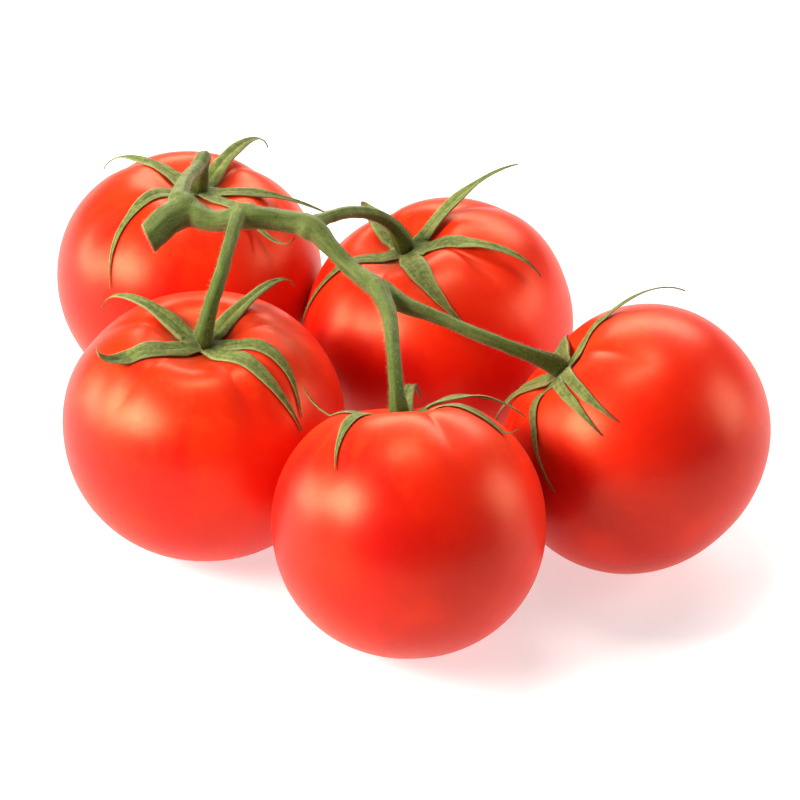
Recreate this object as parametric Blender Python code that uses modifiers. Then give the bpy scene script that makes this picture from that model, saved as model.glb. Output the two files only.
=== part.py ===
"""A picked truss of five ripe tomatoes on one green vine, lying on a surface.

Metres, +Z up, the resting surface at z = 0. Layout values are in millimetres and
degrees. Each fruit has its own frame: z runs out of the stem end, azimuth 0 is
towards +X and 90 towards +Y.
"""
import math

import bmesh
import bpy
from mathutils import Matrix, Vector
from mathutils.bvhtree import BVHTree

MM = 0.001
OBJECT_NAME = "vine_tomato"

# Every layout position is moved by this, so the origin is under the middle of the bunch.
MOVE_X = -0.2
MOVE_Y = -2.7

FLAT_SPOT = 0.3
CAVITY_DEPTH = 6.0
CAVITY_WIDE = 10.5
CREASE_HALF_WIDTH = 13.0
CREASE_AT = 38.0
CREASE_REACH = 22.0
SEGMENTS = 36
RINGS = 20
RING_BIAS = 0.09

# x, y, radius, half height, lean to +X, lean to +Y, roundness, taper, creases (azimuth, depth)
FRUITS = {
    "back_left": (-53.0, 57.6, 33.2, 30.6, 7, -2, 2.05, 0.03, ((50, 1.0), (140, 1.0), (215, 1.2), (320, 1.0))),
    "front_left": (-46.0, -11.3, 32.9, 29.8, 0, -8, 2.20, 0.03, ((20, 0.8), (155, 1.0), (222, 0.7), (300, 0.8))),
    "front_mid": (2.0, -54.4, 31.1, 29.8, -5, 30, 2.10, 0.02, ((75, 0.8), (232, 0.9), (298, 1.2))),
    "back_right": (9.6, 34.3, 33.3, 28.8, -20, -3, 2.25, 0.03,
                   ((35, 1.1), (100, 1.0), (175, 1.1), (245, 0.7), (325, 1.3))),
    "right": (55.4, -19.4, 32.2, 29.3, -47, 14, 2.10, 0.03, ((110, 0.8), (200, 0.6), (325, 0.8))),
}

SEPAL_THICK = 0.7
SEPAL_CLEAR = 0.7
SEPAL_START = 1.5
SEPAL_STEPS = 40
SEPAL_ROWS = (0.15, 0.225, 0.325, 0.425, 0.55, 0.675, 0.8, 0.9, 0.95)
SEPAL_FOLD = 0.12
HUB_HEIGHT = 0.9
VALLEY_MIN = 2.4
VALLEY_MAX = 6.0

# azimuth, length, width, rise, bend, tip curl, swing
SEPALS = {
    "back_left": (
        (147, 30, 4.8, 22, -55, -40, 0),
        (60, 33, 4.8, 42, -75, -30, -6),
        (352, 32, 4.2, 22, -42, 0, 2),
        (208, 37, 4.3, 20, -78, 0, 62),
        (317, 33, 4.2, 20, -62, 120, 5),
    ),
    "front_left": (
        (142, 32, 4.8, 40, -76, -40, 4),
        (50, 33, 4.8, 25, -36, -60, -3),
        (204, 27, 4.8, 22, -50, 150, -6),
        (350, 32, 4.4, 24, -75, -20, -100),
        (321, 31, 4.8, 22, -85, 0, 0),
    ),
    "front_mid": (
        (224, 29, 4.4, 20, -85, 0, 60),
        (168, 29, 4.2, -25, 105, 0, 0),
        (12, 30, 4.4, 40, -78, -60, 0),
        (335, 26, 3.8, 20, -60, 60, 15),
        (82, 28, 4.0, 60, -98, 0, 0),
    ),
    "back_right": (
        (24, 34, 4.8, 38, -56, -8, 12),
        (334, 37, 4.8, 27, -77, -30, 8),
        (281, 31, 5.4, 18, -70, 0, 28),
        (184, 33, 4.4, 20, -80, 0, -6),
        (125, 17, 4.6, 40, -25, 20, 0),
    ),
    "right": (
        (12, 36, 3.4, 27, -74, -20, 40),
        (88, 18, 4.2, 28, -55, -10, 0),
        (160, 28, 4.6, 24, -50, -10, -8),
        (246, 36, 4.0, 24, -85, 0, 18),
        (282, 33, 3.2, 18, -75, 0, 5),
        (293, 33, 3.2, 18, -75, 10, -1),
    ),
}

# Branch centre lines: x, y, z, radius
BRANCHES = {
    "stub": ((-58.5, 8.0, 70.0, 3.6), (-54.5, 13.5, 71.5, 3.9), (-50.5, 17.0, 72.0, 3.9)),
    "rachis": (
        (-50.5, 17.0, 72.0, 3.6),
        (-43.5, 13.0, 71.6, 2.6),
        (-36.5, 11.5, 73.4, 3.1),
        (-28.0, 11.5, 72.6, 2.8),
        (-20.5, 9.5, 71.6, 3.0),
        (-16.6, 6.0, 68.9, 2.4),
        (-12.0, 1.5, 65.9, 2.2),
        (-5.5, -6.0, 64.6, 2.6),
    ),
    "to_back_left": (
        (-52.5, 18.0, 74.0, 2.5),
        (-51.2, 32.0, 71.9, 1.9),
        (-49.3, 45.0, 68.2, 1.9),
        (-48.1, 53.0, 66.8, 2.0),
        (-48.8, 56.2, 63.0, 2.0),
        (-49.6, 56.6, 57.4, 2.4),
    ),
    "to_front_left": (
        (-37.5, 13.0, 75.0, 2.1),
        (-39.2, 2.0, 73.5, 1.8),
        (-41.5, -9.0, 69.0, 1.9),
        (-43.8, -14.0, 63.5, 2.1),
        (-45.0, -15.2, 59.0, 2.3),
        (-45.5, -15.2, 56.2, 2.5),
    ),
    "to_back_right": (
        (-22.0, 10.0, 71.8, 2.2),
        (-17.8, 15.0, 71.0, 1.8),
        (-13.5, 20.5, 69.4, 1.7),
        (-9.0, 26.0, 66.6, 1.7),
        (-4.2, 30.3, 62.6, 1.7),
        (-1.4, 32.5, 58.8, 1.9),
        (0.9, 33.1, 53.7, 2.5),
    ),
    "to_front_mid": (
        (-5.5, -6.0, 65.0, 2.7),
        (-2.5, -15.5, 63.6, 2.2),
        (-1.5, -26.5, 61.8, 1.9),
        (-1.0, -35.0, 59.3, 1.9),
        (-0.7, -39.8, 56.4, 2.1),
        (-0.3, -41.4, 53.4, 2.4),
    ),
    "to_right": (
        (-4.5, -5.0, 64.0, 2.3),
        (0.0, -8.5, 62.0, 2.4),
        (7.0, -11.0, 60.3, 1.9),
        (18.5, -15.0, 57.0, 1.9),
        (30.0, -16.5, 52.7, 2.0),
        (33.8, -15.9, 50.7, 2.3),
        (36.3, -15.4, 49.0, 2.5),
    ),
}

# Swollen joints of the vine: x, y, z, radius
KNUCKLES = (
    (-51.0, 17.5, 72.3, 4.2),
    (-36.0, 12.0, 73.7, 3.5),
    (-21.5, 9.5, 71.6, 3.3),
    (-1.0, -8.0, 62.4, 2.9),
)


def clear_scene():
    for obj in list(bpy.data.objects):
        bpy.data.objects.remove(obj, do_unlink=True)


def make_material(name, colour, roughness):
    material = bpy.data.materials.new(name)
    material.use_nodes = True
    shader = material.node_tree.nodes["Principled BSDF"]
    shader.inputs["Base Color"].default_value = (*colour, 1.0)
    shader.inputs["Roughness"].default_value = roughness
    return material


def fruit_axes(lean_x, lean_y):
    """Rotation from a fruit's own frame to the world."""
    axis = Vector((math.tan(math.radians(lean_x)), math.tan(math.radians(lean_y)), 1.0)).normalized()
    across = Vector((0.0, 1.0, 0.0)).cross(axis).normalized()
    return Matrix((across, axis.cross(across), axis)).transposed()


def skin_point(polar, azimuth, fruit):
    """Point of the skin in the fruit's own frame."""
    _, _, radius, half, _, _, roundness, taper, creases = fruit
    out = radius * abs(math.sin(polar)) ** (2 / roundness) * (1 + taper * math.cos(polar))
    up = half * math.copysign(abs(math.cos(polar)) ** (2 / roundness), math.cos(polar))
    if polar < math.pi / 2:
        up -= CAVITY_DEPTH * math.exp(-(out / CAVITY_WIDE) ** 2)
    point = Vector((out * math.cos(azimuth), out * math.sin(azimuth), up))
    reach = math.exp(-((math.degrees(polar) - CREASE_AT) / CREASE_REACH) ** 2)
    for crease_azimuth, depth in creases:
        turn = (math.degrees(azimuth) - crease_azimuth + 180.0) % 360.0 - 180.0
        point -= point.normalized() * depth * reach * math.exp(-(turn / CREASE_HALF_WIDTH) ** 2)
    return point


def make_fruit(name, fruit, collection, material):
    """Round skin with a stem cavity, creases and a small flat resting spot."""
    bm = bmesh.new()
    bmesh.ops.create_uvsphere(bm, u_segments=SEGMENTS, v_segments=RINGS, radius=1.0)
    turn = fruit_axes(fruit[4], fruit[5])
    for vert in bm.verts:
        share = math.acos(max(-1.0, min(1.0, vert.co.z))) / math.pi
        polar = math.pi * (share - RING_BIAS * math.sin(2 * math.pi * share))
        vert.co = turn @ skin_point(polar, math.atan2(vert.co.y, vert.co.x), fruit)
    floor = min(vert.co.z for vert in bm.verts) + FLAT_SPOT
    geometry = bm.verts[:] + bm.edges[:] + bm.faces[:]
    cut = bmesh.ops.bisect_plane(
        bm, geom=geometry, dist=0.001, plane_co=(0, 0, floor), plane_no=(0, 0, -1), clear_outer=True)
    rim = [item for item in cut["geom_cut"] if isinstance(item, bmesh.types.BMEdge)]
    bmesh.ops.edgeloop_fill(bm, edges=rim)
    bmesh.ops.recalc_face_normals(bm, faces=bm.faces[:])
    for face in bm.faces:
        face.smooth = len(face.verts) < 5
    tree = BVHTree.FromBMesh(bm)
    bmesh.ops.scale(bm, vec=(MM, MM, MM), verts=bm.verts[:])
    obj = make_object(f"fruit_{name}", bm, collection, material)
    obj.location = Vector((fruit[0] + MOVE_X, fruit[1] + MOVE_Y, -floor)) * MM
    return obj, turn, tree


def make_object(name, bm, collection, material):
    mesh = bpy.data.meshes.new(name)
    bm.to_mesh(mesh)
    bm.free()
    mesh.materials.append(material)
    obj = bpy.data.objects.new(name, mesh)
    collection.objects.link(obj)
    return obj


def sepal_width(width, share):
    return width * (1 - share) ** 0.8 * (0.9 + 0.35 * math.sin(math.pi * share)) + 0.4


def sepal_line(sepal, hub_z):
    """Centre points of a sepal with their across directions, from the hub to the tip."""
    azimuth, length, _, rise, bend, curl, swing = sepal
    start = math.radians(azimuth)
    point = Vector((SEPAL_START * math.cos(start), SEPAL_START * math.sin(start), hub_z))
    line = []
    for step in range(SEPAL_STEPS + 1):
        share = step / SEPAL_STEPS
        tip = max(0.0, (share - 0.55) / 0.45) ** 2
        slope = math.radians(rise * min(share / 0.15, 1.0) + bend * share + curl * tip)
        heading = math.radians(azimuth + swing * share ** 2)
        along = Vector((math.cos(slope) * math.cos(heading), math.cos(slope) * math.sin(heading), math.sin(slope)))
        across = Vector((-math.sin(heading), math.cos(heading), 0.0))
        if step:
            point = point + (along + last) * (0.5 * length / SEPAL_STEPS)
        last = along
        line.append((point.copy(), across, along.cross(across)))
    return line


def make_calyx(name, fruit, fruit_obj, turn, tree, collection, material):
    """Star of sepals on its fruit: one surface with a shared hub, thickened upwards."""
    hub_z = fruit[3] - CAVITY_DEPTH + HUB_HEIGHT
    sepals = sorted(SEPALS[name])
    count = len(sepals)
    bm = bmesh.new()

    def put(local):
        """Vertex at a point of the fruit's frame, lifted clear of the skin where needed."""
        ray = (turn @ local).normalized()
        skin = tree.ray_cast(Vector(), ray)[3]
        return bm.verts.new(ray * max(local.length, skin + SEPAL_CLEAR) * MM)

    valleys = []
    spacings = []
    for index, sepal in enumerate(sepals):
        following = sepals[(index + 1) % count]
        spacing = math.radians((following[0] - sepal[0]) % 360)
        spacings.append(spacing)
        reach = min(max((sepal[2] + following[2]) / 2 / spacing, VALLEY_MIN), VALLEY_MAX)
        middle = math.radians(sepal[0]) + spacing / 2
        valleys.append(put(Vector((reach * math.cos(middle), reach * math.sin(middle), hub_z))))
    hub = put(Vector((0.0, 0.0, hub_z)))

    for index, sepal in enumerate(sepals):
        line = sepal_line(sepal, hub_z)
        rows = []
        for share in SEPAL_ROWS:
            point, across, normal = line[round(share * SEPAL_STEPS)]
            half = sepal_width(sepal[2], share) / 2
            radius = math.hypot(point.x, point.y)
            left = min(half, radius * math.sin(spacings[index] / 2) - 0.2)
            right = min(half, radius * math.sin(spacings[index - 1] / 2) - 0.2)
            fold = normal * SEPAL_FOLD * half
            rows.append((put(point - across * right + fold), put(point), put(point + across * left + fold)))
        rows[0] = (valleys[index - 1], rows[0][1], valleys[index])
        bm.faces.new((hub, rows[0][0], rows[0][1]))
        bm.faces.new((hub, rows[0][1], rows[0][2]))
        for near, far in zip(rows, rows[1:]):
            bm.faces.new((near[0], far[0], far[1], near[1]))
            bm.faces.new((near[1], far[1], far[2], near[2]))
        tip = put(line[-1][0])
        bm.faces.new((rows[-1][0], tip, rows[-1][1]))
        bm.faces.new((rows[-1][1], tip, rows[-1][2]))

    bmesh.ops.triangulate(bm, faces=bm.faces[:])
    for face in bm.faces:
        face.smooth = True
    obj = make_object(f"calyx_{name}", bm, collection, material)
    obj.parent = fruit_obj
    thicken = obj.modifiers.new("thickness", "SOLIDIFY")
    thicken.thickness = SEPAL_THICK * MM
    thicken.offset = 1.0


def make_tube(name, points):
    """Closed round tube through the points, as a mesh object."""
    curve = bpy.data.curves.new(name, "CURVE")
    curve.dimensions = "3D"
    curve.resolution_u = 3
    curve.bevel_depth = 1.0 * MM
    curve.bevel_resolution = 2
    curve.use_fill_caps = True
    spline = curve.splines.new("BEZIER")
    spline.bezier_points.add(len(points) - 1)
    for knot, (x, y, z, radius) in zip(spline.bezier_points, points):
        knot.co = (Vector((x + MOVE_X, y + MOVE_Y, z))) * MM
        knot.radius = radius
        knot.handle_left_type = "AUTO"
        knot.handle_right_type = "AUTO"
    source = bpy.data.objects.new(name, curve)
    mesh = bpy.data.meshes.new_from_object(source)
    bpy.data.objects.remove(source, do_unlink=True)
    return clean_object(name, mesh)


def clean_object(name, mesh):
    bm = bmesh.new()
    bm.from_mesh(mesh)
    bmesh.ops.remove_doubles(bm, verts=bm.verts[:], dist=0.00001)
    bmesh.ops.recalc_face_normals(bm, faces=bm.faces[:])
    bm.to_mesh(mesh)
    bm.free()
    return bpy.data.objects.new(name, mesh)


def make_knuckle(name, x, y, z, radius):
    bm = bmesh.new()
    place = Matrix.Translation(Vector((x + MOVE_X, y + MOVE_Y, z)) * MM)
    bmesh.ops.create_uvsphere(bm, u_segments=12, v_segments=8, radius=radius * MM, matrix=place)
    mesh = bpy.data.meshes.new(name)
    bm.to_mesh(mesh)
    bm.free()
    return bpy.data.objects.new(name, mesh)


def make_vine(collection, cutters, material):
    """Main stem with its cut end, joints and a stalk to each fruit, as one body."""
    vine = make_tube("vine_stem", BRANCHES["rachis"])
    collection.objects.link(vine)
    pieces = [make_tube(name, points) for name, points in BRANCHES.items() if name != "rachis"]
    pieces += [make_knuckle(f"knuckle_{index}", *values) for index, values in enumerate(KNUCKLES)]
    for piece in pieces:
        cutters.objects.link(piece)
        piece.hide_render = True
        piece.display_type = "WIRE"
    join = vine.modifiers.new("join", "BOOLEAN")
    join.operation = "UNION"
    join.operand_type = "COLLECTION"
    join.collection = cutters
    join.solver = "EXACT"
    bpy.context.view_layer.update()
    graph = bpy.context.evaluated_depsgraph_get()
    joined = bpy.data.meshes.new_from_object(vine.evaluated_get(graph))
    vine.modifiers.clear()
    vine.data = joined
    joined.materials.clear()
    joined.materials.append(material)
    for polygon in joined.polygons:
        polygon.use_smooth = True
    for piece in pieces:
        bpy.data.objects.remove(piece, do_unlink=True)
    return vine


def main():
    clear_scene()
    scene = bpy.context.scene
    scene.unit_settings.system = "METRIC"
    scene.unit_settings.scale_length = 1.0
    collection = bpy.data.collections.new(OBJECT_NAME)
    scene.collection.children.link(collection)
    cutters = bpy.data.collections.new("cutters")
    scene.collection.children.link(cutters)

    skin = make_material("tomato_skin", (0.75, 0.04, 0.02), 0.25)
    green = make_material("calyx_green", (0.18, 0.28, 0.06), 0.6)
    stem = make_material("vine_green", (0.14, 0.24, 0.07), 0.6)
    for name, fruit in FRUITS.items():
        fruit_obj, turn, tree = make_fruit(name, fruit, collection, skin)
        make_calyx(name, fruit, fruit_obj, turn, tree, collection, green)
    make_vine(collection, cutters, stem)


main()
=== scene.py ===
"""The looks of a picked truss of ripe tomatoes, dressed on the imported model's frame.

Layout values are in millimetres and degrees, but BLOSSOM_WIDE and FUSED_SPACING are in
radians. Each fruit has its own frame: z runs out of the stem end, azimuth 0 is towards +X
and 90 towards +Y.
"""
import math
from collections import namedtuple

import bmesh
import bpy
import numpy as np
from mathutils import Matrix, Vector
from mathutils.bvhtree import BVHTree
from mathutils.kdtree import KDTree


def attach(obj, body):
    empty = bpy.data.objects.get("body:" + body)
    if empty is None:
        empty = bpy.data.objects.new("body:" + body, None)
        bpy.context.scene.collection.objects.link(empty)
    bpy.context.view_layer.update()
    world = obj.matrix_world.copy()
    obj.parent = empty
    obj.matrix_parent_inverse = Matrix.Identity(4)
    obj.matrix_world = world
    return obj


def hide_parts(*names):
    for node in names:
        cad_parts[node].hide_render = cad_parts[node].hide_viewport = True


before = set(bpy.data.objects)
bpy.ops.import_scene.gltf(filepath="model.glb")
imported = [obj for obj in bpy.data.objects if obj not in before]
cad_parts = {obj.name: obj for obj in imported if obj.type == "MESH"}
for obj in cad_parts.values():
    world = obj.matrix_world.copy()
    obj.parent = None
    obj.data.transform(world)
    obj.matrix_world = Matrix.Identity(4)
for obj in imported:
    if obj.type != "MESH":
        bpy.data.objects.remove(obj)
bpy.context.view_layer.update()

MM = 0.001

# Shift of the whole layout, which centres it on the origin
MOVE = np.array((-0.2, -2.7, 0.0))

# Fruit sizes

FLAT_SPOT = 0.3
CAVITY_DEPTH = 6.0
CAVITY_WIDE = 10.5
CAVITY_STEEP = 2.6
CREASE_AT = 38.0
CREASE_REACH = 22.0
CREASE_WIDE = 4.0
CREASE_SPREAD = 0.10
CREASE_SHARP = 0.75
CREASE_BROAD = 0.35
BLOSSOM_DIMPLE = 0.5
BLOSSOM_WIDE = 0.09
UNEVEN = (0.28, 0.16, 0.10)
FRUIT_ROUND = 208
FRUIT_ROWS = 132
ROW_CROWDING = 0.06

# The leans are towards +X and +Y, and each crease is an azimuth and a depth
Fruit = namedtuple("Fruit", "x y radius half_height lean_x lean_y roundness taper creases")
FRUITS = {
    "back_left": Fruit(
        -53.0, 57.6, 33.2, 30.6, 7, -2, 2.05, 0.03,
        ((50, 1.0), (140, 1.0), (215, 1.2), (320, 1.0))),
    "front_left": Fruit(
        -46.0, -11.3, 32.9, 29.8, 0, -8, 2.20, 0.03,
        ((20, 0.8), (155, 1.0), (222, 0.7), (300, 0.8))),
    "front_mid": Fruit(
        2.0, -54.4, 31.1, 29.8, -5, 30, 2.10, 0.02,
        ((75, 0.8), (232, 0.9), (298, 1.2))),
    "back_right": Fruit(
        9.6, 34.3, 33.3, 28.8, -20, -3, 2.25, 0.03,
        ((35, 1.1), (100, 1.0), (175, 1.1), (245, 0.7), (325, 1.3))),
    "right": Fruit(
        55.4, -19.4, 32.2, 29.3, -47, 14, 2.10, 0.03,
        ((110, 0.8), (200, 0.6), (325, 0.8))),
}

# Sepal sizes

SEPAL_CLEAR = 0.35
SEPAL_START = 1.5
SEPAL_STEPS = 80
HUB_HEIGHT = 0.9
HUB_ROWS = 6
BLADE_ROWS = 56
COLUMNS = 8
VALLEY_MIN = 2.4
VALLEY_MAX = 7.0
FUSED_SPACING = 0.2
FUSED_VALLEY = 15.0
VALLEY_GAP = 0.1
HUB_THICK = 1.0
HUB_THINNING = 0.45
BLADE_THICK = 0.55
BLADE_THINNING = 0.30
TIP_WIDTH = 0.32
TIP_START = 0.55
FOLD_DEPTH = 0.22
FOLD_GROWTH = 0.26
EDGE_ROLL = 0.22
ROLL_START = 0.55
EDGE_RIPPLE = 0.10
RIB_DEPTH = 0.16
RIB_WIDE = 0.16

# A taper above 1 is for a blade that narrows early, and swing turns it sideways along its length
Sepal = namedtuple("Sepal", "azimuth length width rise bend curl swing taper")
SEPALS = {
    "back_left": (
        Sepal(147, 30, 5.0, 22, -55, -40, 0, 1.0),
        Sepal(60, 33, 5.2, 42, -75, -30, -6, 0.95),
        Sepal(352, 32, 4.6, 22, -42, 0, 2, 1.05),
        Sepal(212, 35, 4.4, 2, -60, 0, 84, 1.25),
        Sepal(317, 33, 4.4, 20, -62, 120, 5, 1.2),
    ),
    "front_left": (
        Sepal(142, 32, 5.4, 40, -76, -40, 4, 1.15),
        Sepal(50, 33, 5.2, 25, -36, -60, -3, 1.05),
        Sepal(202, 27, 5.0, 20, -40, 130, -3, 0.27),
        Sepal(350, 32, 4.8, 24, -75, -20, -100, 1.0),
        Sepal(321, 31, 5.6, 22, -85, 0, 0, 1.15),
    ),
    "front_mid": (
        Sepal(224, 29, 4.8, 20, -85, 0, 60, 1.15),
        Sepal(168, 25, 4.4, -30, 100, 0, 0, 1.1),
        Sepal(12, 29, 6.8, 40, -84, 0, 0, 0.75),
        Sepal(335, 28, 4.4, 4, -46, 70, 15, 1.0),
        Sepal(82, 28, 4.2, 60, -98, 0, 0, 1.0),
    ),
    "back_right": (
        Sepal(24, 35, 6.2, 39, -56, -8, 12, 1.1),
        Sepal(334, 37, 5.2, 27, -77, -30, 8, 1.0),
        Sepal(283, 33, 6.6, 18, -68, 0, 36, 1.1),
        Sepal(184, 33, 4.8, 20, -80, 0, -6, 1.1),
        Sepal(118, 18.5, 6.0, 38, -25, 10, 0, 0.5),
    ),
    "right": (
        Sepal(12, 36, 4.6, 27, -74, -20, 40, 1.5),
        Sepal(88, 16, 5.8, 30, -50, -10, 0, 0.7),
        Sepal(160, 28, 5.2, 24, -50, -10, -8, 0.9),
        Sepal(246, 36, 4.2, 24, -85, 0, 18, 1.6),
        Sepal(281.5, 30, 5.4, 18, -75, 0, 2, 1.15),
        Sepal(288.5, 31, 5.4, 18, -75, 10, 10, 1.05),
    ),
}

# Vine sizes

# Branch centre lines: x, y, z, radius
BRANCHES = {
    "stub": (
        (-61.0, 4.9, 69.1, 3.4),
        (-58.5, 8.0, 70.0, 3.5),
        (-54.5, 13.5, 71.5, 3.7),
        (-50.5, 17.0, 72.0, 3.8),
    ),
    "rachis": (
        (-50.5, 17.0, 72.0, 3.5),
        (-43.5, 13.0, 71.6, 2.5),
        (-36.5, 11.5, 73.4, 2.9),
        (-28.0, 11.5, 72.6, 2.55),
        (-20.5, 9.5, 71.6, 2.8),
        (-16.6, 6.0, 68.9, 2.15),
        (-12.0, 1.5, 65.9, 2.0),
        (-5.5, -6.0, 64.6, 2.4),
    ),
    "to_back_left": (
        (-52.5, 18.0, 74.0, 2.4),
        (-51.2, 32.0, 71.9, 1.75),
        (-49.3, 45.0, 68.2, 1.7),
        (-48.1, 53.0, 66.8, 1.8),
        (-48.8, 56.2, 63.0, 1.9),
        (-49.6, 56.6, 57.4, 2.3),
    ),
    "to_front_left": (
        (-37.3, 13.0, 75.0, 1.9),
        (-39.2, 2.0, 73.5, 1.6),
        (-41.5, -9.0, 69.0, 1.65),
        (-43.8, -14.0, 63.5, 1.85),
        (-45.0, -15.2, 59.0, 2.1),
        (-45.5, -15.2, 56.2, 2.35),
    ),
    "to_back_right": (
        (-22.0, 10.0, 71.8, 2.1),
        (-17.8, 15.0, 71.0, 1.6),
        (-13.5, 20.5, 69.4, 1.5),
        (-9.0, 26.0, 66.6, 1.5),
        (-4.2, 30.3, 62.6, 1.6),
        (-1.4, 32.5, 58.8, 1.8),
        (0.9, 33.1, 53.7, 2.4),
    ),
    "to_front_mid": (
        (-5.5, -6.0, 65.0, 2.4),
        (-2.7, -15.5, 63.6, 1.9),
        (-1.7, -26.5, 61.8, 1.65),
        (-1.1, -35.0, 59.3, 1.65),
        (-0.7, -39.8, 56.4, 1.9),
        (-0.3, -41.4, 53.4, 2.3),
    ),
    "to_right": (
        (-4.5, -5.0, 64.0, 2.2),
        (0.0, -8.5, 62.0, 2.2),
        (7.0, -11.0, 60.3, 1.6),
        (18.5, -15.0, 57.0, 1.55),
        (30.0, -16.5, 52.7, 1.75),
        (33.8, -15.9, 50.7, 2.1),
        (36.3, -15.4, 49.0, 2.4),
    ),
}

# Swollen joints of the vine: x, y, z, radius
KNUCKLES = (
    (-51.0, 17.5, 72.3, 3.9),
    (-35.6, 12.0, 73.5, 3.2),
    (-21.5, 9.5, 71.6, 2.9),
    (-1.0, -8.0, 62.4, 2.4),
)

TUBE_SIDES = 28
TUBE_RIDGE = 0.028
PATH_STEP = 0.8
BALL_ROWS = 12
BALL_SIDES = 24
VINE_VOXEL = 0.24
RIDGE_HEIGHT = 0.035
FINE_RIDGE_HEIGHT = 0.02
LUMP_HEIGHT = 0.06
CUT_POINT = (-58.9, 7.6, 69.8)
CUT_NORMAL = (-0.89, -0.24, -0.38)
CUT_RIM = 0.5
CUT_SLOPE = 0.6
CUT_SUNK = 0.25

# Hair sizes

VINE_HAIRS = 11000
VINE_HAIR_LENGTHS = (0.3, 1.05)
VINE_HAIR_RADIUS = 0.024
CALYX_HAIRS = 1300
CALYX_HAIR_LENGTHS = (0.2, 0.75)
CALYX_HAIR_RADIUS = 0.021
HAIR_LEAN = 0.35
HAIR_ROOT = 0.05
EDGE_FAVOUR = 5.0

# Studio, in metres, degrees and watts, with the lens and its sensor in millimetres

CAMERA_TARGET = (-0.0002, -0.0027, 0.030)
CAMERA_RISE = 32.0
CAMERA_DISTANCE = 0.90
CAMERA_LENS = 170.1
CAMERA_SENSOR = 36.0
ROOM_LIGHT = 0.10
FLOOR_HALF = 12
FLOOR_DROP = 0.0003

LIGHT_TARGET = (0.0, 0.0, 0.03)

# Place, width and height, power, tint
LIGHTS = {
    "main": ((-0.76, -0.32, 0.54), (0.54, 0.36), 12.5, (1.0, 0.90, 0.76)),
    "top": ((-0.06, 0.14, 0.98), (0.42, 0.17), 3.6, (1.0, 0.90, 0.76)),
    "left_wall": ((-0.97, 0.16, 0.26), (0.55, 0.36), 6.5, (1.0, 0.88, 0.72)),
    "back_wall": ((0.10, 0.82, 0.56), (1.00, 0.36), 8.0, (1.0, 0.90, 0.78)),
    "right_wall": ((0.95, 0.10, 0.34), (0.50, 0.50), 4.8, (1.0, 0.88, 0.74)),
}


# Mesh helpers

def make_object(name, points, faces, material, smooth=True):
    """Mesh object from points in metres."""
    mesh = bpy.data.meshes.new(name)
    mesh.from_pydata([tuple(map(float, point)) for point in points], [], faces)
    mesh.validate()
    mesh.polygons.foreach_set("use_smooth", [smooth] * len(mesh.polygons))
    mesh.materials.append(material)
    obj = bpy.data.objects.new(name, mesh)
    bpy.context.scene.collection.objects.link(obj)
    return obj


def keep_vectors(mesh, name, vectors):
    """Keep one vector per vertex for the materials to read."""
    held = mesh.attributes.new(name, "FLOAT_VECTOR", "POINT")
    held.data.foreach_set("vector", np.asarray(vectors, dtype=np.float32).ravel())


def vertex_array(mesh, field="co"):
    values = np.empty(len(mesh.vertices) * 3)
    mesh.vertices.foreach_get(field, values)
    return values.reshape(-1, 3)


def set_vertex_array(mesh, points):
    mesh.vertices.foreach_set("co", points.astype(np.float32).ravel())
    mesh.update()


def ring_faces(rings, sides, flip=False):
    """Faces over rings of points, closed at both ends by the two points numbered last."""
    ends = rings * sides
    last = ends - sides
    faces = []
    for near in range(0, last, sides):
        far = near + sides
        for column in range(sides):
            following = (column + 1) % sides
            faces.append((near + column, far + column, far + following, near + following))
    for column in range(sides):
        following = (column + 1) % sides
        faces.append((ends, column, following))
        faces.append((ends + 1, last + following, last + column))
    if flip:
        faces = [face[:1] + face[:0:-1] for face in faces]
    return faces


def relax(mesh, weights, rounds):
    """Smooth a mesh: each vertex moves towards its neighbours' mean by its weight."""
    edges = np.empty(len(mesh.edges) * 2, dtype=np.int32)
    mesh.edges.foreach_get("vertices", edges)
    first, second = edges.reshape(-1, 2).T
    points = vertex_array(mesh)
    count = np.bincount(first, minlength=len(points)) + np.bincount(second, minlength=len(points))
    for _ in range(rounds):
        total = np.empty_like(points)
        for axis in range(3):
            total[:, axis] = np.bincount(first, points[second, axis], len(points))
            total[:, axis] += np.bincount(second, points[first, axis], len(points))
        points += weights[:, None] * (total / count[:, None] - points)
    set_vertex_array(mesh, points)


# Fruits

def fruit_turn(fruit):
    """Rotation from a fruit's own frame to the world."""
    lean_x, lean_y = math.radians(fruit.lean_x), math.radians(fruit.lean_y)
    axis = Vector((math.tan(lean_x), math.tan(lean_y), 1.0)).normalized()
    across = Vector((0.0, 1.0, 0.0)).cross(axis).normalized()
    return Matrix((across, axis.cross(across), axis)).transposed()


def hub_height(fruit):
    """Height of the calyx hub above the middle of a fruit, along its own axis."""
    return fruit.half_height - CAVITY_DEPTH + HUB_HEIGHT


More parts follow.
